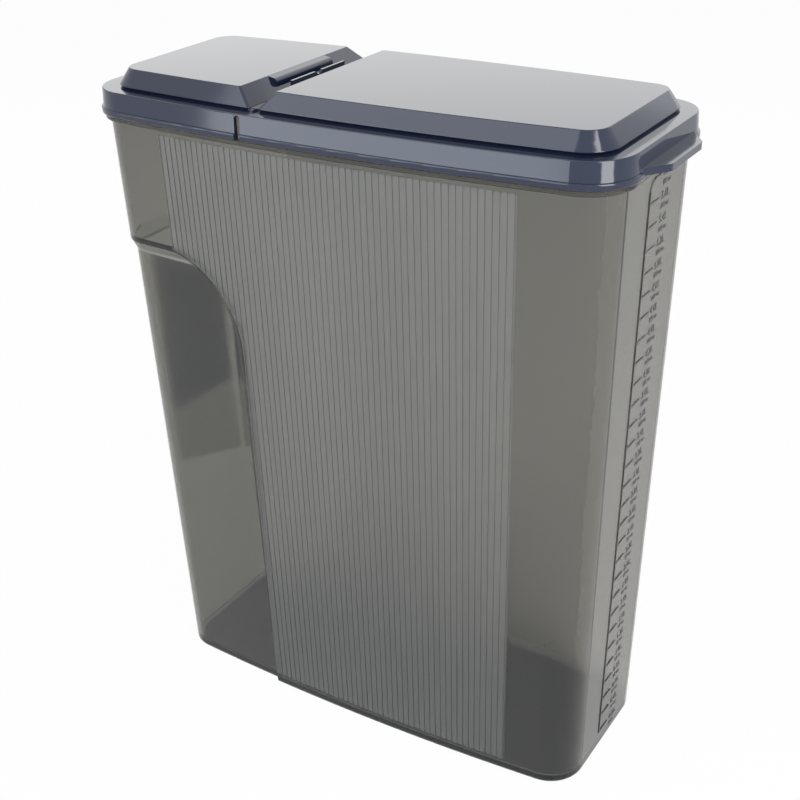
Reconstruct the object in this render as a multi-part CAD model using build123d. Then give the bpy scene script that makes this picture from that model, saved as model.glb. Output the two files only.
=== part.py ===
from build123d import *
import math
import os

# Sizes in millimetres. X runs along the long side with the pouring flap at the low end,
# Y runs from the front to the back and Z is up from the table.

# Overall size
overall_height = 309.9
bead_length = 250.6
bead_depth = 105.8
bead_corner = 20.8
side_bow_radius = 1325.0

# Lid edge
lid_wall = 1.5
bead_proud = 0.8
bead_height = 2.8
bead_round = 0.7
skirt_height = 7.7
skirt_draft = 0.6
deck_drop = 7.6
deck_edge_round = 0.5

# Raised caps on the lid
cap_edge_drop = 6.6
cap_front_inset = 12.6
cap_flare = 4.9
cap_undercut = 0.8
cap_corner = 8.6
cap_valley_corner = 1.2
cap_top_round = 0.5
cap_edge_round = 0.4
flap_cap_left = -110.8
flap_cap_right = -43.9
flap_slope_run = 7.5
main_cap_left = -25.5
main_cap_right = 112.0
main_slope_run = 6.2

# Living hinge, notches and the plug under the deck
hinge_gap = 0.6
film_thickness = 0.4
film_depth_below_edge = 0.1
film_end_inset = 1.0
split_gap = 0.2
notch_left = -39.0
notch_width = 2.7
notch_web = 0.6
notch_reach_in = 1.5
plug_wall = 1.4
plug_depth = 5.5
plug_clearance = 0.5
plug_flap_gap = 12.0
plug_main_gap = 2.0
plug_flap_end_gap = 22.0
cross_rib_wall = 1.5
cross_rib_gap = 1.0
cross_rib_drop = 0.3

# Catch that holds the flap open
nose_length = 41.2
nose_reach = 4.5
nose_fall = 0.8
nose_round = 1.8
nose_root = 0.8
nose_step = 0.05
rib_length = 38.6
rib_wall = 1.1
rib_left = -33.4
rib_top_drop = 1.0
rib_notch_top = 5.0
rib_notch_foot = 2.0
rib_notch_depth = 1.2

# Thumb tab
tab_root_width = 52.0
tab_tip_width = 31.0
tab_reach = 6.6
tab_thickness = 2.8
tab_lift = 1.5
tab_corner = 3.5
tab_blend = 8.0

# Body
body_wall = 2.0
floor_thickness = 2.5
rim_inset = 3.9
rim_clearance = 0.4
end_draft = 0.0101
side_draft = 0.0062
body_top_corner = 15.9
base_corner = 17.6
base_round = 2.5
floor_round = 3.0
collar_gap = 0.4
collar_height = 2.0
collar_inset = 1.2
collar_round = 0.8

# Grip recess at the pouring end
grip_top = 234.8
grip_ramp = 5.0
grip_step = 2.3
grip_edge_top = -51.5
grip_edge_base = -49.0
grip_radius = 42.0
grip_run_out = 1.0

# Ribbed panel
panel_left = -84.7
panel_right = 84.9
panel_top = 286.8
panel_bottom = 7.0
groove_count = 56
groove_width = 0.6
groove_depth = 0.35
panel_margin = 1.6

# Volume scale on the end face
scale_step_litres = 0.2
scale_marks = 29
scale_zero = 0.3
fill_slice = 0.1
rail_y = -7.0
rail_width = 0.8
rail_relief = 0.4
rail_root = 0.1
mark_length = 9.8
mark_width = 0.8
rail_bend = 4.3

# How far cutters reach past the faces they cut, how far joined solids overlap,
# and how close to a level an edge must be to be picked
cut_margin = 1.0
weld = 0.2
edge_band = 0.01

# Heights that follow from the sizes above
deck_top = overall_height - deck_drop
deck_under = deck_top - lid_wall
cap_edge = overall_height - cap_edge_drop
bead_top = deck_top - skirt_height
bead_bottom = bead_top - bead_height
collar_top = bead_bottom - collar_gap
collar_bottom = collar_top - collar_height
rim_top = deck_under - rim_clearance

# Widths and hinge line that follow from the sizes above
skirt_depth = bead_depth - 2 * bead_proud
cap_top_depth = bead_depth - 2 * cap_front_inset
cap_foot_depth = cap_top_depth + 2 * (cap_flare - cap_undercut)
flap_slope_foot = flap_cap_right + flap_slope_run
main_slope_foot = main_cap_left - main_slope_run
hinge_x = flap_slope_foot + hinge_gap / 2
undercut_drop = deck_drop - cap_edge_drop

# Both ends of each cap: place at the flat top, run of the slope, corner, and whether it
# faces the valley between the caps
flap_cap_ends = (
    (flap_cap_left, cap_flare, cap_corner, False),
    (flap_cap_right, flap_slope_run, cap_valley_corner, True),
)
main_cap_ends = (
    (main_cap_left, main_slope_run, cap_valley_corner, True),
    (main_cap_right, cap_flare, cap_corner, False),
)


def side_sag(x):
    """How far the bowed long side has come in at this distance from the middle."""
    return side_bow_radius - math.sqrt(side_bow_radius ** 2 - x ** 2)


def bowed_face(x_low, x_high, depth, z, corner_low, corner_high):
    """Outline with bowed long sides and straight ends; depth is the width across the middle."""
    half = depth / 2
    y_low = half - side_sag(x_low)
    y_high = half - side_sag(x_high)
    x_mid = (x_low + x_high) / 2
    y_mid = half - side_sag(x_mid)
    with BuildSketch(Plane.XY.offset(z)) as sketch:
        with BuildLine():
            ThreePointArc((x_low, -y_low), (x_mid, -y_mid), (x_high, -y_high))
            Line((x_high, -y_high), (x_high, y_high))
            ThreePointArc((x_high, y_high), (x_mid, y_mid), (x_low, y_low))
            Line((x_low, y_low), (x_low, -y_low))
        make_face()
        corners = sketch.vertices().sort_by(Axis.X)
        fillet(corners[:2], corner_low)
        corners = sketch.vertices().sort_by(Axis.X)
        fillet(corners[-2:], corner_high)
    return sketch.sketch.face()


def ring_face(inset, z):
    """Outline of the bead moved in by the inset."""
    half_length = bead_length / 2 - inset
    corner = bead_corner - inset
    return bowed_face(-half_length, half_length, bead_depth - 2 * inset, z, corner, corner)


def raised(face, height):
    """Upright solid of this height over an outline."""
    return extrude(face, height, dir=(0, 0, 1))


def slab(inset, z_low, z_high):
    """Solid between two heights with the bead outline moved in."""
    return raised(ring_face(inset, z_low), z_high - z_low)


def joined(faces):
    """Straight-walled solid through two outlines."""
    return loft(faces, ruled=True)


def edges_at(shape, z):
    """Edges of a solid that lie at one height."""
    return shape.edges().filter_by_position(Axis.Z, z - edge_band, z + edge_band)


def box_between(low, high):
    """Box from its low corner to its high corner."""
    size = [b - a for a, b in zip(low, high)]
    return Pos(*low) * Box(*size, align=(Align.MIN, Align.MIN, Align.MIN))


def front_plane(y):
    """Drawing plane seen from the front, with X to the right and Z up."""
    return Plane(origin=(0, y, 0), x_dir=(1, 0, 0), z_dir=(0, -1, 0))


def side_profile(points, y_low, y_high):
    """Prism with its outline drawn in X and Z and its length along Y."""
    with BuildSketch(front_plane(y_low)) as sketch:
        Polygon(*points, align=None)
    return extrude(sketch.sketch.face(), y_high - y_low, dir=(0, 1, 0))


def body_face(z, inset):
    """Body outline at a height, moved in by the inset."""
    drop = collar_bottom - z
    half_length = bead_length / 2 - rim_inset - end_draft * drop
    depth = bead_depth - 2 * rim_inset - 2 * side_draft * drop
    share = max(0.0, min(1.0, drop / collar_bottom))
    corner = body_top_corner * (1 - share) + base_corner * share - inset
    x_reach = half_length - inset
    return bowed_face(-x_reach, x_reach, depth - 2 * inset, z, corner, corner)


def body_solid(z_low, z_high, inset):
    """Drafted solid between two heights of the body."""
    return joined([body_face(z_low, inset), body_face(z_high, inset)])


def grip_zone(grow):
    """Region of the grip recess seen from the front, grown by the wall where asked."""
    far = -bead_length
    foot = -grip_run_out
    top = grip_top + grip_run_out + grow
    radius = grip_radius + grow
    edge_top = grip_edge_top + grow
    edge_base = grip_edge_base + grow
    centre_x = edge_top - radius
    centre_z = top - radius
    turn = math.radians(45)
    mid = (centre_x + radius * math.cos(turn), centre_z + radius * math.sin(turn))
    with BuildSketch(front_plane(-bead_depth)) as sketch:
        with BuildLine():
            Line((far, foot), (far, top))
            Line((far, top), (centre_x, top))
            ThreePointArc((centre_x, top), mid, (edge_top, centre_z))
            Line((edge_top, centre_z), (edge_base, foot))
            Line((edge_base, foot), (far, foot))
        make_face()
    return extrude(sketch.sketch.face(), 2 * bead_depth, dir=(0, 1, 0))


def grip_core(inset, top):
    """Body narrowed by the grip step; it opens out past full size above the top of the recess."""
    ramp_foot = top - grip_ramp
    ramp_end = top + grip_ramp
    narrow = inset + grip_step
    low = joined([body_face(-grip_run_out, narrow), body_face(ramp_foot, narrow)])
    ramp = joined([body_face(ramp_foot, narrow), body_face(ramp_end, inset - grip_step)])
    return low + ramp


def body_envelope(inset, z_low, grow):
    """Body with its grip recess up to the collar, moved in by the inset."""
    recess = grip_zone(grow) - grip_core(inset, grip_top + grow)
    return body_solid(z_low, collar_bottom, inset) - recess


def cavity_area(z):
    """Inside plan area at a height, used to place the volume marks."""
    drop = collar_bottom - z
    half_length = bead_length / 2 - rim_inset - end_draft * drop - body_wall
    half_depth = bead_depth / 2 - rim_inset - side_draft * drop - body_wall
    corner = body_top_corner - body_wall
    mean_sag = half_length ** 2 / (6 * side_bow_radius)
    area = 4 * half_length * (half_depth - mean_sag) - (4 - math.pi) * corner ** 2
    if z < grip_top - grip_ramp:
        rise = max(0.0, z - (grip_top - grip_radius))
        arc_back = grip_radius - math.sqrt(grip_radius ** 2 - rise ** 2)
        reach = grip_edge_top - arc_back + half_length
        area -= 2 * grip_step * (reach + half_depth)
    return area


def mark_heights():
    """Fill height for each step of the volume scale."""
    cubic_mm_per_litre = 1e6
    heights = []
    filled = 0.0
    z = scale_zero
    while len(heights) < scale_marks:
        filled += cavity_area(z) * fill_slice / cubic_mm_per_litre
        z += fill_slice
        if filled >= scale_step_litres * (len(heights) + 1):
            heights.append(z)
    return heights


def groove_cutter(x, side):
    """One upright groove of the ribbed panel, following the drafted wall."""
    wall = bead_depth / 2 - rim_inset - side_sag(x)
    low_y = wall - side_draft * (collar_bottom - panel_bottom)
    high_y = wall - side_draft * (collar_bottom - panel_top)
    points = [
        (low_y - groove_depth, panel_bottom),
        (low_y + cut_margin, panel_bottom),
        (high_y + cut_margin, panel_top),
        (high_y - groove_depth, panel_top),
    ]
    plane = Plane(origin=(x - groove_width / 2, 0, 0), x_dir=(0, side, 0), z_dir=(side, 0, 0))
    with BuildSketch(plane) as sketch:
        Polygon(*points, align=None)
    return extrude(sketch.sketch.face(), groove_width, dir=(1, 0, 0))


def panel_grooves(side):
    """All grooves of one long side, kept clear of the grip recess."""
    pitch = (panel_right - panel_left) / groove_count
    clear = grip_zone(panel_margin)
    clear_right = max(grip_edge_top, grip_edge_base) + panel_margin + groove_width
    grooves = []
    for index in range(groove_count + 1):
        x = panel_left + index * pitch
        groove = groove_cutter(x, side)
        if x < clear_right:
            groove = groove - clear
        grooves.append(groove)
    return grooves


def rail_sketch(heights):
    """Rail with a curved top and one mark for each height, drawn in Y and Z."""
    top = heights[-1]
    low = heights[0] - mark_width / 2
    half = rail_width / 2
    outer = rail_bend + half
    inner = rail_bend - half
    centre_y = rail_y + rail_bend
    centre_z = top - rail_bend
    turn = math.radians(135)
    outer_mid = (centre_y + outer * math.cos(turn), centre_z + outer * math.sin(turn))
    inner_mid = (centre_y + inner * math.cos(turn), centre_z + inner * math.sin(turn))
    with BuildSketch(Plane(origin=(0, 0, 0), x_dir=(0, 1, 0), z_dir=(1, 0, 0))) as sketch:
        with Locations((rail_y, (low + centre_z) / 2)):
            Rectangle(rail_width, centre_z - low)
        with BuildLine():
            ThreePointArc((centre_y - outer, centre_z), outer_mid, (centre_y, centre_z + outer))
            Line((centre_y, centre_z + outer), (centre_y, centre_z + inner))
            ThreePointArc((centre_y, centre_z + inner), inner_mid, (centre_y - inner, centre_z))
            Line((centre_y - inner, centre_z), (centre_y - outer, centre_z))
        make_face()
        for z in heights[:-1]:
            with Locations((rail_y + mark_length / 2, z)):
                Rectangle(mark_length, mark_width)
        with Locations(((centre_y + rail_y + mark_length) / 2, top)):
            Rectangle(mark_length - rail_bend, mark_width)
    return sketch.sketch


def volume_scale():
    """Volume scale raised a little on the end face."""
    blank = extrude(rail_sketch(mark_heights()), bead_length, dir=(1, 0, 0))
    outside = body_solid(base_round, collar_bottom, -rail_relief)
    inside = body_solid(0, collar_bottom + cut_margin, rail_root)
    return blank & (outside - inside)


def container_body():
    """Tall drafted body: open top, collar under the lid, grip recess, ribbed sides and scale."""
    outer = body_envelope(0, 0, 0)
    outer = fillet(edges_at(outer, 0), base_round)
    for side in (-1, 1):
        outer = outer - panel_grooves(side)
    rim = raised(body_face(collar_bottom, 0), rim_top - collar_bottom)
    collar = slab(collar_inset, collar_bottom, collar_top)
    collar = fillet(edges_at(collar, collar_bottom), collar_round)
    cavity = body_envelope(body_wall, floor_thickness, body_wall)
    cavity = fillet(edges_at(cavity, floor_thickness), floor_round)
    mouth = raised(body_face(collar_bottom, body_wall), rim_top - collar_bottom + cut_margin)
    body = outer + rim + collar + volume_scale()
    body = body - cavity
    return body - mouth


def wall_across(run):
    """Level thickness that gives a sloping cap wall the thickness of the lid."""
    return lid_wall * math.hypot(1, run / cap_edge_drop)


def cap_face(ends, z, spread, undercut=0.0, hollow=False):
    """Outline of a cap; spread is 0 at its flat top and 1 at the edge of its flare."""
    places = []
    corners = []
    for direction, (x, run, corner, at_valley) in zip((-1, 1), ends):
        reach = run * spread
        if hollow or not at_valley:
            reach -= undercut
        if hollow:
            reach -= wall_across(run)
        elif not at_valley:
            corner += run * spread
        places.append(x + direction * reach)
        corners.append(corner)
    depth = cap_top_depth + 2 * (cap_flare * spread - undercut)
    if hollow:
        depth -= 2 * wall_across(cap_flare)
    return bowed_face(*places, depth, z, *corners)


def outer_edges(cap, ends, z):
    """Edges of a cap at one height, without those of its valley end."""
    left, right = ends
    low = -bead_length
    high = bead_length
    if left[3]:
        low = left[0] - left[1] + 2 * left[2]
    if right[3]:
        high = right[0] + right[1] - 2 * right[2]
    return edges_at(cap, z).filter_by_position(Axis.X, low, high)


def cap_block(ends):
    """Raised cap: flat top, sides flaring out to an edge, then a short undercut to the deck."""
    top = cap_face(ends, overall_height, 0)
    edge = cap_face(ends, cap_edge, 1)
    foot = cap_face(ends, deck_top, 1, undercut=cap_undercut)
    cap = joined([edge, top]) + joined([foot, edge])
    cap = fillet(edges_at(cap, overall_height), cap_top_round)
    return fillet(outer_edges(cap, ends, cap_edge), cap_edge_round)


def cap_hollow(ends):
    """Inside of a cap, open downwards through the deck."""
    roof = overall_height - lid_wall
    top = cap_face(ends, roof, lid_wall / cap_edge_drop, hollow=True)
    edge = cap_face(ends, cap_edge, 1, hollow=True)
    foot = cap_face(ends, deck_top, 1, undercut=cap_undercut, hollow=True)
    well = cap_face(ends, deck_under - cut_margin, 1, undercut=cap_undercut, hollow=True)
    return joined([edge, top]) + joined([foot, edge]) + joined([well, foot])


def valley_bridge():
    """Low bridge between the two caps that carries the hinge line."""
    points = [
        (flap_slope_foot, cap_edge),
        (main_slope_foot, cap_edge),
        (main_slope_foot + undercut_drop, deck_top),
        (flap_slope_foot - undercut_drop, deck_top),
    ]
    reach = cap_foot_depth / 2 - side_sag(flap_slope_foot)
    return side_profile(points, -reach, reach)


def lid_blank():
    """Whole lid moulding before it is divided at the hinge."""
    skirt_foot = ring_face(bead_proud, bead_top)
    skirt_top = ring_face(bead_proud + skirt_draft, deck_top)
    skirt = joined([skirt_foot, skirt_top])
    skirt = fillet(edges_at(skirt, deck_top), deck_edge_round)
    bead = slab(0, bead_bottom, bead_top)
    bead = fillet(edges_at(bead, bead_bottom) + edges_at(bead, bead_top), bead_round)
    shell = slab(bead_proud, bead_bottom, bead_top) + skirt
    under = slab(bead_proud + skirt_draft + lid_wall, bead_bottom - cut_margin, deck_under)
    solid = shell + bead + cap_block(flap_cap_ends) + cap_block(main_cap_ends) + valley_bridge()
    return solid - under - cap_hollow(flap_cap_ends) - cap_hollow(main_cap_ends)


def notch_cutter(side):
    """Slot through the skirt at the hinge, with a rounded top just under the deck."""
    centre = notch_left + notch_width / 2
    radius = notch_width / 2
    round_z = deck_top - notch_web - radius
    low_z = bead_bottom - cut_margin
    y_low = skirt_depth / 2 - side_sag(centre) - lid_wall - notch_reach_in
    with BuildSketch(front_plane(0)) as sketch:
        with Locations((centre, (low_z + round_z) / 2)):
            Rectangle(notch_width, round_z - low_z)
        with Locations((centre, round_z)):
            Circle(radius)
    block = extrude(sketch.sketch.face(), bead_depth - y_low, dir=(0, 1, 0))
    if side > 0:
        return Pos(0, y_low, 0) * block
    return Pos(0, -bead_depth, 0) * block


def flap_region():
    """Space that belongs to the flap: left of the hinge line and of the notches."""
    left = -bead_length
    high = overall_height + cut_margin
    low = deck_under - 2 * (deck_under - bead_bottom)
    points = [
        (left, low),
        (notch_left - split_gap, low),
        (notch_left - split_gap, deck_top),
        (flap_slope_foot - undercut_drop - split_gap, deck_top),
        (flap_slope_foot, cap_edge),
        (flap_slope_foot, high),
        (left, high),
    ]
    return side_profile(points, -bead_depth, bead_depth)


def main_region():
    """Space that belongs to the main part of the lid."""
    right = bead_length
    high = overall_height + cut_margin
    low = deck_under - 2 * (deck_under - bead_bottom)
    points = [
        (right, low),
        (notch_left, low),
        (notch_left, deck_top),
        (flap_slope_foot - undercut_drop, deck_top),
        (flap_slope_foot + hinge_gap - split_gap, cap_edge - split_gap),
        (flap_slope_foot + hinge_gap, cap_edge),
        (flap_slope_foot + hinge_gap, high),
        (right, high),
    ]
    return side_profile(points, -bead_depth, bead_depth)


def plug_ring(x_low, x_high):
    """Stretch of the low wall under the deck that fits inside the mouth of the body."""
    inset = rim_inset + body_wall + plug_clearance
    foot = deck_under - plug_depth
    outer = slab(inset, foot, deck_under + weld)
    inner = slab(inset + plug_wall, foot - cut_margin, deck_under + cut_margin)
    low = (x_low, -bead_depth, foot - cut_margin)
    high = (x_high, bead_depth, overall_height)
    return (outer - inner) & box_between(low, high)


def cross_rib():
    """Wall across the main part beside the hinge that closes the plug."""
    left = hinge_x + hinge_gap / 2 + cross_rib_gap
    side_gap = rim_inset + body_wall + plug_clearance + weld / 2
    reach = bead_depth / 2 - side_gap - side_sag(hinge_x)
    low = (left, -reach, deck_under - plug_depth)
    high = (left + cross_rib_wall, reach, cap_edge - cross_rib_drop)
    return box_between(low, high)


def catch_rib():
    """Thin upright rib in the valley that the nose of the flap meets, with a shallow notch."""
    top = overall_height - rib_top_drop
    foot = cap_edge - lid_wall / 2
    half = rib_length / 2
    rib = box_between((rib_left, -half, foot), (rib_left + rib_wall, half, top))
    slope = (rib_notch_top - rib_notch_foot) / (2 * rib_notch_depth)
    wide = rib_notch_top / 2 + slope * cut_margin
    points = [
        (-wide, top + cut_margin),
        (-rib_notch_foot / 2, top - rib_notch_depth),
        (rib_notch_foot / 2, top - rib_notch_depth),
        (wide, top + cut_margin),
    ]
    plane = Plane(origin=(rib_left - cut_margin, 0, 0), x_dir=(0, 1, 0), z_dir=(1, 0, 0))
    with BuildSketch(plane) as sketch:
        Polygon(*points, align=None)
    notch = extrude(sketch.sketch.face(), rib_wall + 2 * cut_margin, dir=(1, 0, 0))
    return rib - notch


def flap_nose():
    """Rounded nose along the top of the flap's slope."""
    top = overall_height - nose_step
    tip_x = flap_cap_right + nose_reach
    low = overall_height - nose_reach * cap_edge_drop / flap_slope_run
    points = [
        (flap_cap_right - nose_root, top),
        (flap_cap_right, top),
        (tip_x, top - nose_fall),
        (tip_x, low),
        (tip_x - nose_root, low),
    ]
    with BuildSketch(front_plane(-nose_length / 2)) as sketch:
        Polygon(*points, align=None)
        tip = sketch.vertices().sort_by(Axis.X)[-2:].sort_by(Axis.Y)[-1]
        fillet(tip, nose_round)
    return extrude(sketch.sketch.face(), nose_length, dir=(0, 1, 0))


def thumb_tab():
    """Flat tab that swings out from the end of the lid just over the bead."""
    wall = bead_length / 2 - bead_proud - weld
    root = wall - lid_wall / 2
    tip = bead_length / 2 + tab_reach
    half_root = tab_root_width / 2
    half_tip = tab_tip_width / 2
    half_foot = half_root + tab_blend / 2
    points = [
        (root, -half_foot),
        (wall, -half_foot),
        (wall, -half_root),
        (tip, -half_tip),
        (tip, half_tip),
        (wall, half_root),
        (wall, half_foot),
        (root, half_foot),
    ]
    with BuildSketch(Plane.XY.offset(bead_bottom + tab_lift)) as plan:
        Polygon(*points, align=None)
        tips = plan.vertices().sort_by(Axis.X)[-2:]
        fillet(tips, tab_corner)
        for y in (-half_root, half_root):
            bend = plan.vertices().filter_by_position(Axis.Y, y - edge_band, y + edge_band)
            fillet(bend, tab_blend)
    return raised(plan.sketch.face(), tab_thickness)


def flap_lid():
    """Pouring flap: the small cap with its own deck, skirt, bead, nose and plug."""
    flap = (lid_blank() + flap_nose()) & flap_region()
    return flap + plug_ring(-bead_length / 2 + plug_flap_end_gap, hinge_x - plug_flap_gap)


def main_lid():
    """Main part of the lid: large cap, deck, skirt, bead, valley bridge, catch rib and tab."""
    lid = lid_blank() & main_region()
    for side in (-1, 1):
        lid = lid - notch_cutter(side)
    lid = lid + plug_ring(hinge_x + plug_main_gap, bead_length / 2)
    return lid + cross_rib() + catch_rib() + thumb_tab() - hinge_film()


def hinge_film():
    """Thin strip that joins the flap to the main part along the hinge line."""
    reach = cap_foot_depth / 2 - side_sag(hinge_x) - film_end_inset
    top = cap_edge - film_depth_below_edge
    low = (hinge_x - hinge_gap / 2, -reach, top - film_thickness)
    high = (hinge_x + hinge_gap / 2, reach, top)
    return box_between(low, high)


def main():
    os.makedirs("parts", exist_ok=True)
    nodes = {
        "container_body": container_body(),
        "main_lid": main_lid(),
        "pour_flap": flap_lid(),
        "hinge_film": hinge_film(),
    }
    for name, shape in nodes.items():
        print(name, len(shape.solids()), round(shape.volume), shape.is_valid)
        export_step(shape, f"parts/{name}.step")


if __name__ == "__main__":
    main()
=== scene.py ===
"""Food storage container: finishes, scale figures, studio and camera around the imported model."""

import math

import bmesh
import bpy
from bpy.props import FloatProperty, FloatVectorProperty, IntProperty, PointerProperty
from bpy.types import Operator, Panel, PropertyGroup
from mathutils import Matrix, Vector


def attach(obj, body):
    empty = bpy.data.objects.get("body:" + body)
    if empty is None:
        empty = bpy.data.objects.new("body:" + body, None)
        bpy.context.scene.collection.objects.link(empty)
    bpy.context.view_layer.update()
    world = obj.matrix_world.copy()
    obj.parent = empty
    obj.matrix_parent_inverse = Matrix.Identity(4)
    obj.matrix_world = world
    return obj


bl_info = {
    "name": "Food storage container",
    "version": (1, 0, 0),
    "blender": (4, 5, 0),
    "location": "View3D > Sidebar > Container",
    "description": "Finishes, scale figures, studio and camera for a food storage container",
    "category": "Object",
}

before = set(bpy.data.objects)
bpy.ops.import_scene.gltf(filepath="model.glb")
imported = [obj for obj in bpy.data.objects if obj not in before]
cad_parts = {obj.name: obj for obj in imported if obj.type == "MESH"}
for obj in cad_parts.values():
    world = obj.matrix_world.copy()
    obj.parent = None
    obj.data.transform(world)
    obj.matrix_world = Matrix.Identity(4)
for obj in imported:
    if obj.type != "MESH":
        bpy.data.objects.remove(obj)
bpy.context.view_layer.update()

# End face of the body in metres, as the part has it: its place under the collar,
# the height it is measured at, and how much it comes in for each metre down
END_FACE_X = 0.1214
END_FACE_TOP = 0.2894
END_FACE_DRAFT = 0.0101

# Heights of the volume marks in metres: lowest mark, first step, and how much each step
# is shorter than the one under it
FIRST_MARK = 0.01034
FIRST_STEP = 0.010236
STEP_LOSS = 0.0000293

# Raised rail and marks of the scale in metres, and how far the dark lines stand out from them
RAIL_Y = -0.007
RAIL_BEND = 0.0043
RAIL_RELIEF = 0.0004
MARK_LENGTH = 0.0098
LINE_PROUD = 0.00003

# Ribbed panel in metres, and the rounded corner of the grip recess that it keeps clear of
PANEL_LEFT = -0.0852
PANEL_RIGHT = 0.0854
PANEL_BOTTOM = 0.007
PANEL_TOP = 0.2868
GRIP_CENTRE_X = -0.0929
GRIP_CENTRE_Z = 0.1928
GRIP_RADIUS = 0.0436

# The floor lies this far under the base, so that the two faces don't coincide
FLOOR_GAP = 0.0002

# Corners in metres of the two cards of painted shade on the floor, and how high they lie. Seen
# only through the clear body, the dark card paints a dark patch of shade in the grip recess, and
# the grey card paints paler shade next to it
PAINTED_SHADE_CARD = ((-0.303, 0.168), (-0.54, 0.415), (-0.455, 0.415), (-0.3, 0.235))
PAINTED_HALF_SHADE_CARD = ((-0.25, 0.113), (-0.303, 0.168), (-0.3, 0.235), (-0.225, 0.15))
CARD_HEIGHT = 0.001

# Half the side of the square floor in metres
FLOOR_REACH = 3.0

# Soft boxes in metres: size, place, and the point that each is aimed at
BACK_BOX = ((1.9, 0.8), (-0.3, 1.0, 0.75), (0.0, 0.0, 0.3))
LEFT_BOX = ((0.85, 1.0), (-0.614, -1.216, 0.5), (0.0, 0.0, 0.5))
TOP_BOX = ((0.7, 0.7), (-0.5, -0.66, 1.15), (0.0, 0.0, 0.3))
RIGHT_BOX = ((0.5, 1.3), (0.92, -0.42, 0.63), (0.0, 0.0, 0.3))

# Camera: degrees to the right of the front, degrees above it, degrees of roll, place in
# metres, shift as shares of the frame, and the width of the sensor in millimetres
CAMERA_AZIMUTH = 32.639
CAMERA_ELEVATION = 32.815
CAMERA_ROLL = -1.751
CAMERA_PLACE = (0.28485, -0.44598, 0.43380)
CAMERA_SHIFT = (0.00521, 0.15145)
SENSOR_WIDTH = 36.0
NEAR_CLIP = 0.01

# Fluid ounces in a litre, and how far their smaller line lies under the litre figures
OUNCES_A_LITRE = 33.8
OUNCE_DROP = 0.0042

# Refraction of the two plastics
BODY_IOR = 1.5
LID_IOR = 1.55

WHITE = (1.0, 1.0, 1.0)


class ContainerFinish(PropertyGroup):
    """Colours and finish of the body and the lid."""

    body_tint: FloatVectorProperty(
        name="Body tint",
        description="Colour that light takes on at the two faces of a wall of the body",
        subtype="COLOR",
        size=3,
        min=0.0,
        max=1.0,
        default=(0.87, 0.87, 0.86),
    )
    smoke_colour: FloatVectorProperty(
        name="Smoke colour",
        description="Colour that thick plastic of the body lets through",
        subtype="COLOR",
        size=3,
        min=0.0,
        max=1.0,
        default=(0.25, 0.225, 0.14),
    )
    smoke_density: FloatProperty(
        name="Smoke density",
        description="How fast light fades in the plastic of the body, for each metre",
        min=0.0,
        default=345.0,
    )
    mirror_colour: FloatVectorProperty(
        name="Gloss colour",
        description="Colour of the gloss on the body",
        subtype="COLOR",
        size=3,
        min=0.0,
        max=1.0,
        default=(0.88, 0.93, 1.0),
    )
    body_roughness: FloatProperty(
        name="Body roughness",
        description="How dull the plain surface of the body is",
        subtype="FACTOR",
        min=0.0,
        max=1.0,
        default=0.05,
    )
    panel_roughness: FloatProperty(
        name="Panel roughness",
        description="How dull the ribbed panel is",
        subtype="FACTOR",
        min=0.0,
        max=1.0,
        default=0.3,
    )
    panel_haze: FloatProperty(
        name="Panel haze",
        description="Share of light that the ribbed panel scatters back",
        subtype="FACTOR",
        min=0.0,
        max=1.0,
        default=0.075,
    )
    lid_colour: FloatVectorProperty(
        name="Lid colour",
        description="Colour of the moulded lid",
        subtype="COLOR",
        size=3,
        min=0.0,
        max=1.0,
        default=(0.012, 0.018, 0.042),
    )
    lid_roughness: FloatProperty(
        name="Lid roughness",
        description="How dull the lid is",
        subtype="FACTOR",
        min=0.0,
        max=1.0,
        default=0.1,
    )
    grain_height: FloatProperty(
        name="Grain height",
        description="Height of the fine moulding grain",
        subtype="DISTANCE",
        unit="LENGTH",
        min=0.0,
        max=0.001,
        precision=6,
        default=0.00002,
    )


class ContainerScale(PropertyGroup):
    """Figures beside the marks of the volume scale."""

    marks: IntProperty(
        name="Marks",
        description="How many marks of the scale carry figures",
        min=1,
        default=29,
    )
    litres_each: FloatProperty(
        name="Litres a mark",
        description="Volume between two marks in litres",
        min=0.01,
        default=0.2,
    )
    litre_height: FloatProperty(
        name="Litre figure size",
        description="Type size of the litre figures",
        subtype="DISTANCE",
        unit="LENGTH",
        min=0.0,
        precision=4,
        default=0.0046,
    )
    ounce_height: FloatProperty(
        name="Ounce figure size",
        description="Type size of the smaller ounce figures",
        subtype="DISTANCE",
        unit="LENGTH",
        min=0.0,
        precision=4,
        default=0.003,
    )
    figure_start: FloatProperty(
        name="Figure start",
        description="Where the figures begin across the end face",
        subtype="DISTANCE",
        unit="LENGTH",
        precision=4,
        default=0.0054,
    )
    figure_relief: FloatProperty(
        name="Figure relief",
        description="How far the figures stand out from the end face",
        subtype="DISTANCE",
        unit="LENGTH",
        min=0.0,
        precision=5,
        default=0.0002,
    )
    line_width: FloatProperty(
        name="Line width",
        description="Width of the dark line on the rail and the marks",
        subtype="DISTANCE",
        unit="LENGTH",
        min=0.0,
        precision=5,
        default=0.0005,
    )
    figure_colour: FloatVectorProperty(
        name="Figure colour",
        description="Colour of the scale figures",
        subtype="COLOR",
        size=3,
        min=0.0,
        max=1.0,
        default=(0.1, 0.1, 0.105),
    )


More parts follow.
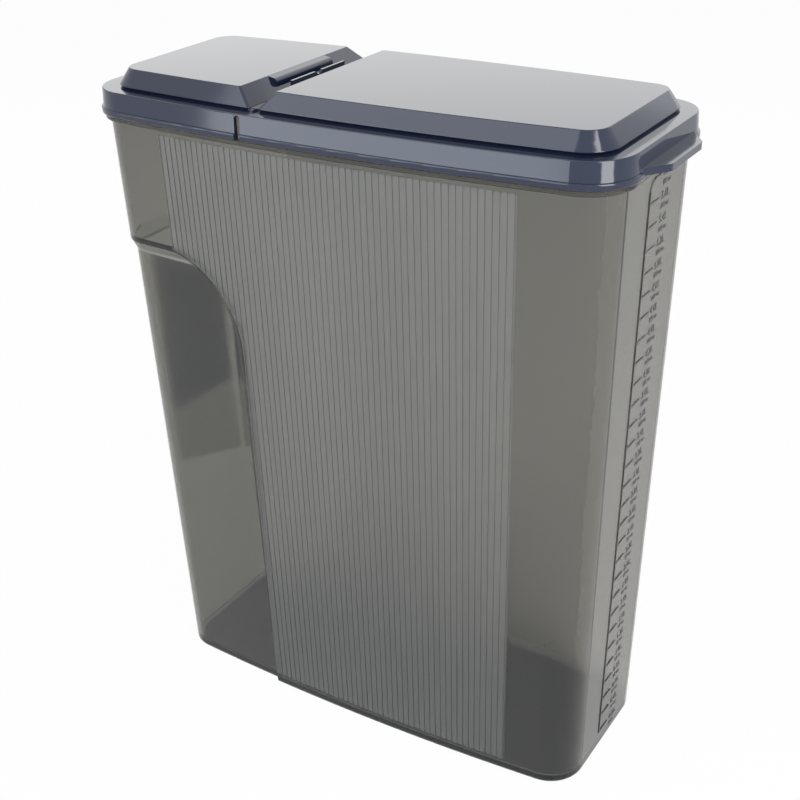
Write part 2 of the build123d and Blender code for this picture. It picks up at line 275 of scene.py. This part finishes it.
class ContainerStudio(PropertyGroup):
    """Camera and light."""

    focal_length: FloatProperty(
        name="Focal length",
        description="Focal length of the camera in millimetres on a 36 mm sensor",
        min=10.0,
        max=300.0,
        default=56.163,
    )
    floor_colour: FloatVectorProperty(
        name="Floor colour",
        description="Colour of the floor",
        subtype="COLOR",
        size=3,
        min=0.0,
        max=1.0,
        default=(0.9, 0.9, 0.9),
    )
    paper_white: FloatProperty(
        name="Paper white",
        description="Share of plain white that the camera sees in the floor over its lit colour",
        subtype="FACTOR",
        min=0.0,
        max=1.0,
        default=0.97,
    )
    paper_through: FloatProperty(
        name="Paper through the body",
        description="Share of plain white that the floor shows through the clear body",
        subtype="FACTOR",
        min=0.0,
        max=1.0,
        default=0.0,
    )
    world_level: FloatProperty(
        name="Surroundings",
        description="Brightness of the even surroundings",
        min=0.0,
        default=0.3,
    )
    # Colour of the card of painted shade that shows through the grip recess as a dark patch
    painted_shade_card: FloatVectorProperty(
        name="Dark card",
        description="Colour of the dark card that the grip recess shows",
        subtype="COLOR",
        size=3,
        min=0.0,
        max=1.0,
        default=(0.01, 0.01, 0.012),
    )
    # Colour of the second card of painted shade, paler, next to the dark one
    painted_half_shade_card: FloatVectorProperty(
        name="Grey card",
        description="Colour of the grey card under the dark one",
        subtype="COLOR",
        size=3,
        min=0.0,
        max=1.0,
        default=(0.4, 0.4, 0.38),
    )
    back_light: FloatProperty(
        name="Back light",
        description="Power of the soft box behind the container in watts",
        min=0.0,
        default=3.8,
    )
    left_light: FloatProperty(
        name="Left light",
        description="Power of the soft box on the left in watts",
        min=0.0,
        default=9.0,
    )
    top_light: FloatProperty(
        name="Top light",
        description="Power of the soft box high on the left in watts",
        min=0.0,
        default=2.6,
    )
    cool_light: FloatVectorProperty(
        name="Cool light",
        description="Colour of the soft boxes on the left",
        subtype="COLOR",
        size=3,
        min=0.0,
        max=1.0,
        default=(0.86, 0.93, 1.0),
    )
    right_light: FloatProperty(
        name="Right light",
        description="Power of the tall soft box on the right in watts",
        min=0.0,
        default=13.0,
    )


def new_material(name):
    """Empty node material with its output and a main shader."""
    material = bpy.data.materials.new(name)
    material.use_nodes = True
    tree = material.node_tree
    tree.nodes.clear()
    output = tree.nodes.new("ShaderNodeOutputMaterial")
    shader = tree.nodes.new("ShaderNodeBsdfPrincipled")
    tree.links.new(shader.outputs["BSDF"], output.inputs["Surface"])
    return material, tree, shader


def material_output(tree):
    """Output node of a material."""
    return next(node for node in tree.nodes if node.type == "OUTPUT_MATERIAL")


def noise_on_object(tree, scale, detail=2.0):
    """Noise between 0 and 1 that is fixed to the object."""
    coords = tree.nodes.new("ShaderNodeTexCoord")
    noise = tree.nodes.new("ShaderNodeTexNoise")
    noise.inputs["Scale"].default_value = scale
    noise.inputs["Detail"].default_value = detail
    tree.links.new(coords.outputs["Object"], noise.inputs["Vector"])
    return noise.outputs["Fac"]


def add_grain(tree, shader, scale, height, strength):
    """Fine moulding grain as bump."""
    bump = tree.nodes.new("ShaderNodeBump")
    bump.inputs["Strength"].default_value = strength
    bump.inputs["Distance"].default_value = height
    tree.links.new(noise_on_object(tree, scale, detail=3.0), bump.inputs["Height"])
    tree.links.new(bump.outputs["Normal"], shader.inputs["Normal"])


def add_roughness_drift(tree, shader, low, high, scale):
    """Slow change of dullness over the surface."""
    span = tree.nodes.new("ShaderNodeMapRange")
    span.inputs["From Min"].default_value = 0.3
    span.inputs["From Max"].default_value = 0.7
    span.inputs["To Min"].default_value = low
    span.inputs["To Max"].default_value = high
    tree.links.new(noise_on_object(tree, scale, detail=4.0), span.inputs["Value"])
    tree.links.new(span.outputs["Result"], shader.inputs["Roughness"])


def give_material(obj, material):
    """Put one material on every slot of an object."""
    if not obj.material_slots:
        obj.data.materials.append(material)
    for slot in obj.material_slots:
        slot.material = material


def combine(tree, operation, first, second):
    """Result of one sum on two sockets, or on a socket and a number."""
    node = tree.nodes.new("ShaderNodeMath")
    node.operation = operation
    tree.links.new(first, node.inputs[0])
    if isinstance(second, float):
        node.inputs[1].default_value = second
    else:
        tree.links.new(second, node.inputs[1])
    return node.outputs["Value"]


def panel_mask(tree):
    """Socket that is 1 on the ribbed panel and 0 on the plain wall and in the grip recess."""
    coords = tree.nodes.new("ShaderNodeTexCoord")
    place = tree.nodes.new("ShaderNodeSeparateXYZ")
    tree.links.new(coords.outputs["Object"], place.inputs["Vector"])
    x, z = place.outputs["X"], place.outputs["Z"]
    right = combine(tree, "MAXIMUM", combine(tree, "SUBTRACT", x, GRIP_CENTRE_X), 0.0)
    above = combine(tree, "MAXIMUM", combine(tree, "SUBTRACT", z, GRIP_CENTRE_Z), 0.0)
    right = combine(tree, "POWER", right, 2.0)
    above = combine(tree, "POWER", above, 2.0)
    away = combine(tree, "POWER", combine(tree, "ADD", right, above), 0.5)
    mask = combine(tree, "GREATER_THAN", away, GRIP_RADIUS)
    for socket, low, high in ((x, PANEL_LEFT, PANEL_RIGHT), (z, PANEL_BOTTOM, PANEL_TOP)):
        mask = combine(tree, "MULTIPLY", mask, combine(tree, "GREATER_THAN", socket, low))
        mask = combine(tree, "MULTIPLY", mask, combine(tree, "LESS_THAN", socket, high))
    return mask


def body_material(finish):
    """Smoke-grey clear plastic, duller on the ribbed panel."""
    material, tree, shader = new_material("smoke_clear_plastic")
    shader.inputs["Base Color"].default_value = (*finish.body_tint, 1.0)
    shader.inputs["IOR"].default_value = BODY_IOR
    shader.inputs["Specular Tint"].default_value = (*finish.mirror_colour, 1.0)
    panel = panel_mask(tree)
    haze = combine(tree, "MULTIPLY", panel, -finish.panel_haze)
    tree.links.new(combine(tree, "ADD", haze, 1.0), shader.inputs["Transmission Weight"])
    drift = noise_on_object(tree, scale=18.0)
    plain = combine(tree, "MULTIPLY", drift, finish.body_roughness * 2)
    added = combine(tree, "MULTIPLY", panel, finish.panel_roughness)
    tree.links.new(combine(tree, "ADD", plain, added), shader.inputs["Roughness"])
    smoke = tree.nodes.new("ShaderNodeVolumeAbsorption")
    smoke.inputs["Color"].default_value = (*finish.smoke_colour, 1.0)
    smoke.inputs["Density"].default_value = finish.smoke_density
    tree.links.new(smoke.outputs["Volume"], material_output(tree).inputs["Volume"])
    return material


def lid_material(finish):
    """Dark slate moulded plastic with a gloss."""
    material, tree, shader = new_material("slate_lid_plastic")
    shader.inputs["Base Color"].default_value = (*finish.lid_colour, 1.0)
    shader.inputs["IOR"].default_value = LID_IOR
    dull = finish.lid_roughness
    add_roughness_drift(tree, shader, low=dull * 0.8, high=dull * 1.2, scale=25.0)
    add_grain(tree, shader, scale=900.0, height=finish.grain_height, strength=0.15)
    return material


def figure_material(colour):
    """Dark moulded figures with a little change of tone along them."""
    material, tree, shader = new_material("scale_figure_plastic")
    tone = tree.nodes.new("ShaderNodeMix")
    tone.data_type = "RGBA"
    # A Mix node has its share at input 0, its two colours at inputs 6 and 7, and its colour
    # result at output 2
    tone.inputs[6].default_value = (*[channel * 0.8 for channel in colour], 1.0)
    tone.inputs[7].default_value = (*[channel * 1.25 for channel in colour], 1.0)
    tree.links.new(noise_on_object(tree, scale=300.0), tone.inputs[0])
    tree.links.new(tone.outputs[2], shader.inputs["Base Color"])
    add_roughness_drift(tree, shader, low=0.25, high=0.4, scale=200.0)
    return material


class CONTAINER_OT_body(Operator):
    """Give the body its clear smoke-grey plastic"""

    bl_idname = "container.body"
    bl_label = "Body finish"

    def execute(self, context):
        finish = context.scene.container_finish
        give_material(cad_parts["container_body"], body_material(finish))
        return {"FINISHED"}


class CONTAINER_OT_lid(Operator):
    """Give the lid, the flap and the hinge film their slate plastic"""

    bl_idname = "container.lid"
    bl_label = "Lid finish"

    def execute(self, context):
        finish = context.scene.container_finish
        material = lid_material(finish)
        for node in ("main_lid", "pour_flap", "hinge_film"):
            give_material(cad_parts[node], material)
        return {"FINISHED"}


def mark_height(number):
    """Height of a mark of the scale; the steps close up as the body widens."""
    steps = number - 1
    return FIRST_MARK + steps * FIRST_STEP - STEP_LOSS * steps * (steps - 1) / 2


def on_end_face(start, height):
    """Placement on the end face: drawn X runs towards the back, drawn Y up, drawn Z outwards."""
    tilt = math.atan(END_FACE_DRAFT)
    face_x = END_FACE_X - END_FACE_DRAFT * (END_FACE_TOP - height)
    across = Vector((0.0, 1.0, 0.0))
    out = Vector((math.cos(tilt), 0.0, -math.sin(tilt)))
    up = out.cross(across)
    turn = Matrix((across, up, out)).transposed().to_4x4()
    return Matrix.Translation((face_x, start, height)) @ turn


def add_words(words, size, start, height, relief):
    """One line of raised figures on the end face, as a mesh that is already in place."""
    curve = bpy.data.curves.new("words", "FONT")
    curve.body = words
    curve.size = size
    curve.extrude = relief
    curve.resolution_u = 2
    curve.align_y = "CENTER"
    maker = bpy.data.objects.new("words", curve)
    mesh = bpy.data.meshes.new_from_object(maker)
    bpy.data.objects.remove(maker)
    bpy.data.curves.remove(curve)
    mesh.transform(on_end_face(start, height))
    return mesh


def add_bar(shape, middle, height, length, width, relief):
    """Thin bar on the end face around its middle."""
    place = on_end_face(middle, height) @ Matrix.Diagonal((length, width, relief, 1.0))
    bmesh.ops.create_cube(shape, size=1.0, matrix=place)


def add_scale_piece(name, shape, colour):
    """Piece of the volume scale that moves with the body."""
    mesh = bpy.data.meshes.new(name)
    shape.to_mesh(mesh)
    shape.free()
    piece = bpy.data.objects.new(name, mesh)
    bpy.context.scene.collection.objects.link(piece)
    give_material(piece, figure_material(colour))
    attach(piece, "container")


class CONTAINER_OT_figures(Operator):
    """Put the litre and ounce figures beside the marks of the volume scale"""

    bl_idname = "container.figures"
    bl_label = "Scale figures"

    def execute(self, context):
        scale = context.scene.container_scale
        shape = bmesh.new()
        for number in range(1, scale.marks + 1):
            litres = number * scale.litres_each
            height = mark_height(number)
            lines = (
                (f"{litres:.1f}L", scale.litre_height, height),
                (f"{litres * OUNCES_A_LITRE:.0f} oz", scale.ounce_height, height - OUNCE_DROP),
            )
            for words, size, place in lines:
                mesh = add_words(words, size, scale.figure_start, place, scale.figure_relief)
                shape.from_mesh(mesh)
                bpy.data.meshes.remove(mesh)
        add_scale_piece("scale_figures", shape, scale.figure_colour)
        return {"FINISHED"}


class CONTAINER_OT_marks(Operator):
    """Put a dark line on the rail and on each mark of the volume scale"""

    bl_idname = "container.marks"
    bl_label = "Scale marks"

    def execute(self, context):
        scale = context.scene.container_scale
        shape = bmesh.new()
        relief = 2 * (RAIL_RELIEF + LINE_PROUD)
        for number in range(1, scale.marks + 1):
            start = RAIL_BEND if number == scale.marks else 0.0
            middle = RAIL_Y + (MARK_LENGTH + start) / 2
            length = MARK_LENGTH - start
            add_bar(shape, middle, mark_height(number), length, scale.line_width, relief)
        low = mark_height(1)
        high = mark_height(scale.marks) - RAIL_BEND
        add_bar(shape, RAIL_Y, (low + high) / 2, scale.line_width, high - low, relief)
        add_scale_piece("scale_lines", shape, scale.figure_colour)
        return {"FINISHED"}


def add_soft_box(name, power, box, colour=WHITE):
    """Rectangular soft box aimed at a point."""
    size, position, target = box
    data = bpy.data.lights.new(name, "AREA")
    data.shape = "RECTANGLE"
    data.size, data.size_y = size
    data.energy = power
    data.color = colour
    light = bpy.data.objects.new(name, data)
    light.visible_camera = False
    light.visible_transmission = False
    direction = Vector(target) - Vector(position)
    turn = direction.to_track_quat("-Z", "Y").to_matrix().to_4x4()
    light.matrix_world = Matrix.Translation(position) @ turn
    bpy.context.scene.collection.objects.link(light)


def add_painted_shade_card(name, corners, colour):
    """Card of painted shade on the floor behind the container that shows only through the clear
    body.
    """
    shape = bmesh.new()
    shape.faces.new([shape.verts.new((x, y, CARD_HEIGHT)) for x, y in corners])
    bmesh.ops.recalc_face_normals(shape, faces=shape.faces)
    mesh = bpy.data.meshes.new(name)
    shape.to_mesh(mesh)
    shape.free()
    card = bpy.data.objects.new(name, mesh)
    bpy.context.scene.collection.objects.link(card)
    material, _, shader = new_material(name)
    shader.inputs["Base Color"].default_value = (*colour, 1.0)
    shader.inputs["Roughness"].default_value = 0.8
    give_material(card, material)
    card.visible_camera = False
    card.visible_glossy = False
    card.visible_diffuse = False
    card.visible_shadow = False


def add_camera(focal_length):
    """Camera at the photograph's place and angle."""
    azimuth, elevation, roll = (
        math.radians(angle) for angle in (CAMERA_AZIMUTH, CAMERA_ELEVATION, CAMERA_ROLL)
    )
    back = Vector(
        (
            math.sin(azimuth) * math.cos(elevation),
            -math.cos(azimuth) * math.cos(elevation),
            math.sin(elevation),
        )
    )
    right = (-back).cross(Vector((0.0, 0.0, 1.0))).normalized()
    up = right.cross(-back)
    right, up = (
        math.cos(roll) * right + math.sin(roll) * up,
        -math.sin(roll) * right + math.cos(roll) * up,
    )
    data = bpy.data.cameras.new("camera")
    data.lens = focal_length
    data.sensor_width = SENSOR_WIDTH
    data.shift_x, data.shift_y = CAMERA_SHIFT
    data.clip_start = NEAR_CLIP
    camera = bpy.data.objects.new("camera", data)
    turn = Matrix((right, up, back)).transposed().to_4x4()
    camera.matrix_world = Matrix.Translation(CAMERA_PLACE) @ turn
    bpy.context.scene.collection.objects.link(camera)
    bpy.context.scene.camera = camera


def white_share(tree, direct, through):
    """How much plain white is seen: by the camera and gloss, and through clear plastic."""
    path = tree.nodes.new("ShaderNodeLightPath")
    passed = path.outputs["Is Transmission Ray"]
    mirrored = combine(tree, "SUBTRACT", path.outputs["Is Glossy Ray"], passed)
    seen = combine(tree, "MAXIMUM", path.outputs["Is Camera Ray"], mirrored)
    seen = combine(tree, "MULTIPLY", seen, direct)
    behind = combine(tree, "MULTIPLY", passed, through)
    return combine(tree, "MAXIMUM", seen, behind)


def floor_material(colour, paper_white, paper_through):
    """Pale floor that the camera and gloss see as white paper with a light shadow."""
    material, tree, shader = new_material("floor_paper")
    shader.inputs["Base Color"].default_value = (*colour, 1.0)
    shader.inputs["Roughness"].default_value = 0.7
    shader.inputs["Specular IOR Level"].default_value = 0.0
    white = tree.nodes.new("ShaderNodeEmission")
    mix = tree.nodes.new("ShaderNodeMixShader")
    output = material_output(tree)
    tree.links.new(white_share(tree, paper_white, paper_through), mix.inputs["Fac"])
    tree.links.new(shader.outputs["BSDF"], mix.inputs[1])
    tree.links.new(white.outputs["Emission"], mix.inputs[2])
    tree.links.new(mix.outputs["Shader"], output.inputs["Surface"])
    return material


def set_world(level):
    """Even pale surroundings that are white where they are seen."""
    world = bpy.data.worlds.new("studio")
    world.use_nodes = True
    tree = world.node_tree
    tree.nodes.clear()
    output = tree.nodes.new("ShaderNodeOutputWorld")
    mix = tree.nodes.new("ShaderNodeMixShader")
    tree.links.new(white_share(tree, direct=1.0, through=1.0), mix.inputs["Fac"])
    for place, strength in ((1, level), (2, 1.0)):
        light = tree.nodes.new("ShaderNodeBackground")
        light.inputs["Color"].default_value = (*WHITE, 1.0)
        light.inputs["Strength"].default_value = strength
        tree.links.new(light.outputs["Background"], mix.inputs[place])
    tree.links.new(mix.outputs["Shader"], output.inputs["Surface"])
    bpy.context.scene.world = world


def add_floor(studio):
    """Pale floor just under the base."""
    shape = bmesh.new()
    bmesh.ops.create_grid(shape, x_segments=1, y_segments=1, size=FLOOR_REACH)
    mesh = bpy.data.meshes.new("floor")
    shape.to_mesh(mesh)
    shape.free()
    mesh.transform(Matrix.Translation((0.0, 0.0, -FLOOR_GAP)))
    floor = bpy.data.objects.new("floor", mesh)
    bpy.context.scene.collection.objects.link(floor)
    paper = floor_material(studio.floor_colour, studio.paper_white, studio.paper_through)
    give_material(floor, paper)


class CONTAINER_OT_studio(Operator):
    """Set up the floor, the soft light and the camera"""

    bl_idname = "container.studio"
    bl_label = "Studio"

    def execute(self, context):
        studio = context.scene.container_studio
        add_floor(studio)
        add_soft_box("back_soft_box", studio.back_light, BACK_BOX)
        add_soft_box("left_soft_box", studio.left_light, LEFT_BOX, studio.cool_light)
        add_soft_box("top_soft_box", studio.top_light, TOP_BOX, studio.cool_light)
        add_soft_box("right_soft_box", studio.right_light, RIGHT_BOX)
        # Two cards of painted shade, seen only through the clear body, darken the grip recess
        add_painted_shade_card("painted_shade_card", PAINTED_SHADE_CARD, studio.painted_shade_card)
        add_painted_shade_card("painted_half_shade_card", PAINTED_HALF_SHADE_CARD, studio.painted_half_shade_card)
        set_world(studio.world_level)
        add_camera(studio.focal_length)
        context.scene.view_settings.view_transform = "Standard"
        return {"FINISHED"}


class CONTAINER_PT_panel(Panel):
    """Sizes, colours and pieces of the container."""

    bl_idname = "CONTAINER_PT_panel"
    bl_label = "Food storage container"
    bl_space_type = "VIEW_3D"
    bl_region_type = "UI"
    bl_category = "Container"

    def draw(self, context):
        layout = self.layout
        scene = context.scene
        for group in (scene.container_finish, scene.container_scale, scene.container_studio):
            for name in group.__annotations__:
                layout.prop(group, name)
        for operator in OPERATORS:
            layout.operator(operator.bl_idname)


GROUPS = (ContainerFinish, ContainerScale, ContainerStudio)
OPERATORS = (
    CONTAINER_OT_studio,
    CONTAINER_OT_body,
    CONTAINER_OT_lid,
    CONTAINER_OT_figures,
    CONTAINER_OT_marks,
)


def register():
    """Make the sizes, colours, operators and panel known to Blender."""
    for group in GROUPS:
        bpy.utils.register_class(group)
    bpy.types.Scene.container_finish = PointerProperty(type=ContainerFinish)
    bpy.types.Scene.container_scale = PointerProperty(type=ContainerScale)
    bpy.types.Scene.container_studio = PointerProperty(type=ContainerStudio)
    for operator in OPERATORS:
        bpy.utils.register_class(operator)
    bpy.utils.register_class(CONTAINER_PT_panel)


def unregister():
    """Take them out again."""
    bpy.utils.unregister_class(CONTAINER_PT_panel)
    for operator in reversed(OPERATORS):
        bpy.utils.unregister_class(operator)
    del bpy.types.Scene.container_studio
    del bpy.types.Scene.container_scale
    del bpy.types.Scene.container_finish
    for group in reversed(GROUPS):
        bpy.utils.unregister_class(group)


def main():
    """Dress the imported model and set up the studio."""
    register()
    bpy.ops.container.studio()
    bpy.ops.container.body()
    bpy.ops.container.lid()
    bpy.ops.container.figures()
    bpy.ops.container.marks()


if __name__ == "__main__":
    main()
